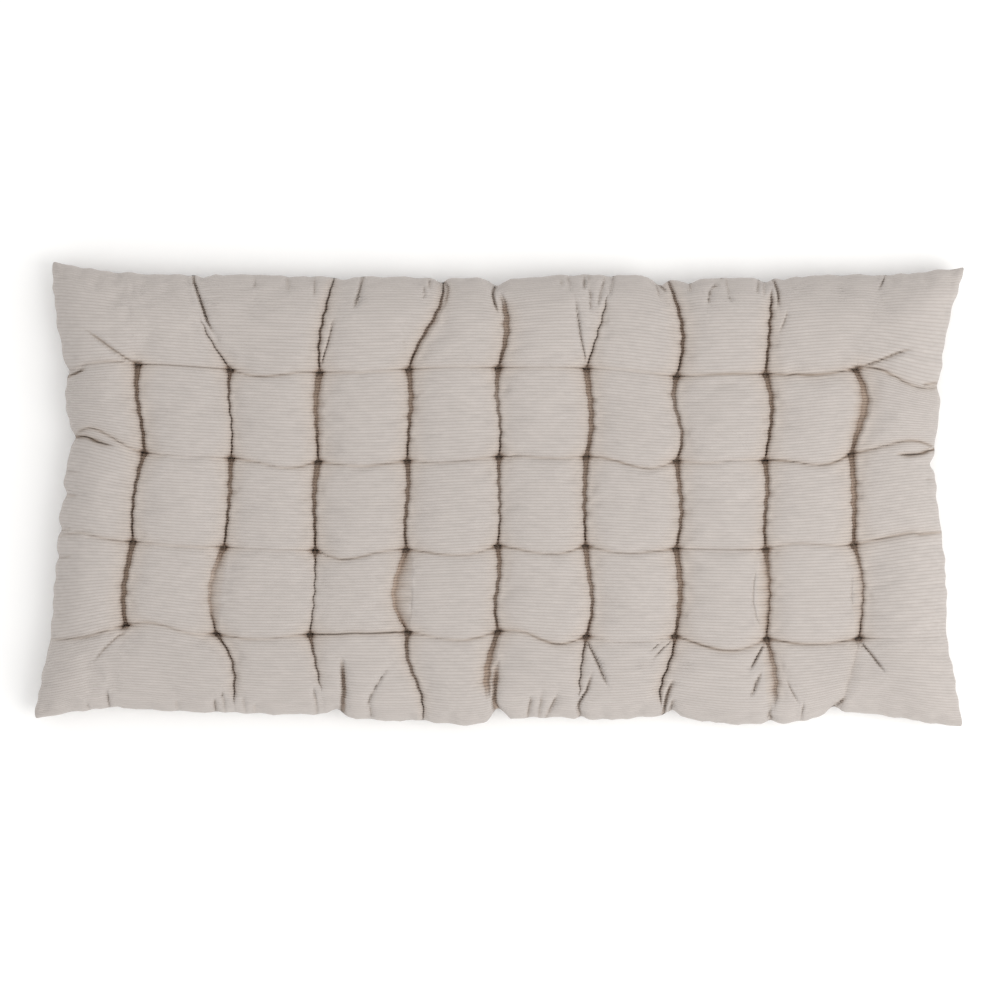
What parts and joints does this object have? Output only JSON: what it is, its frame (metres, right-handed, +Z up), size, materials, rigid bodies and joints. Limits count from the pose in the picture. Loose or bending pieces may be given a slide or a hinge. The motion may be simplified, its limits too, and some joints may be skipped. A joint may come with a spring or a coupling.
{
  "type": "floor mattress",
  "caption": "Flat rectangular floor mattress with a knife-edge ribbed cover, drawn in by an even grid of tufts into soft square pillows, with pointed corners.",
  "frame": {"origin": "on the floor, under the middle of the mattress's bounding box", "axes": "+X along the long side, +Y towards the back long edge, +Z up out of the upper face"},
  "size_m": [1.21, 0.604, 0.0759],
  "materials": {
    "ribbed_cloth": "ribbed corduroy, warm pale greige, soft short pile",
    "thread": "matt tacking thread, a shade darker than the cloth"
  },
  "bodies": {
    "root": {"filled_cover": "ribbed_cloth", "tuft_tack_r1_c1": "thread", "tuft_tack_r1_c2": "thread", "tuft_tack_r1_c3": "thread", "tuft_tack_r1_c4": "thread", "tuft_tack_r1_c5": "thread", "tuft_tack_r1_c6": "thread", "tuft_tack_r1_c7": "thread", "tuft_tack_r1_c8": "thread", "tuft_tack_r1_c9": "thread", "tuft_tack_r2_c1": "thread", "tuft_tack_r2_c2": "thread", "tuft_tack_r2_c3": "thread", "tuft_tack_r2_c4": "thread", "tuft_tack_r2_c5": "thread", "tuft_tack_r2_c6": "thread", "tuft_tack_r2_c7": "thread", "tuft_tack_r2_c8": "thread", "tuft_tack_r2_c9": "thread", "tuft_tack_r3_c1": "thread", "tuft_tack_r3_c2": "thread", "tuft_tack_r3_c3": "thread", "tuft_tack_r3_c4": "thread", "tuft_tack_r3_c5": "thread", "tuft_tack_r3_c6": "thread", "tuft_tack_r3_c7": "thread", "tuft_tack_r3_c8": "thread", "tuft_tack_r3_c9": "thread", "tuft_tack_r4_c1": "thread", "tuft_tack_r4_c2": "thread", "tuft_tack_r4_c3": "thread", "tuft_tack_r4_c4": "thread", "tuft_tack_r4_c5": "thread", "tuft_tack_r4_c6": "thread", "tuft_tack_r4_c7": "thread", "tuft_tack_r4_c8": "thread", "tuft_tack_r4_c9": "thread"}
  },
  "joints": []
}
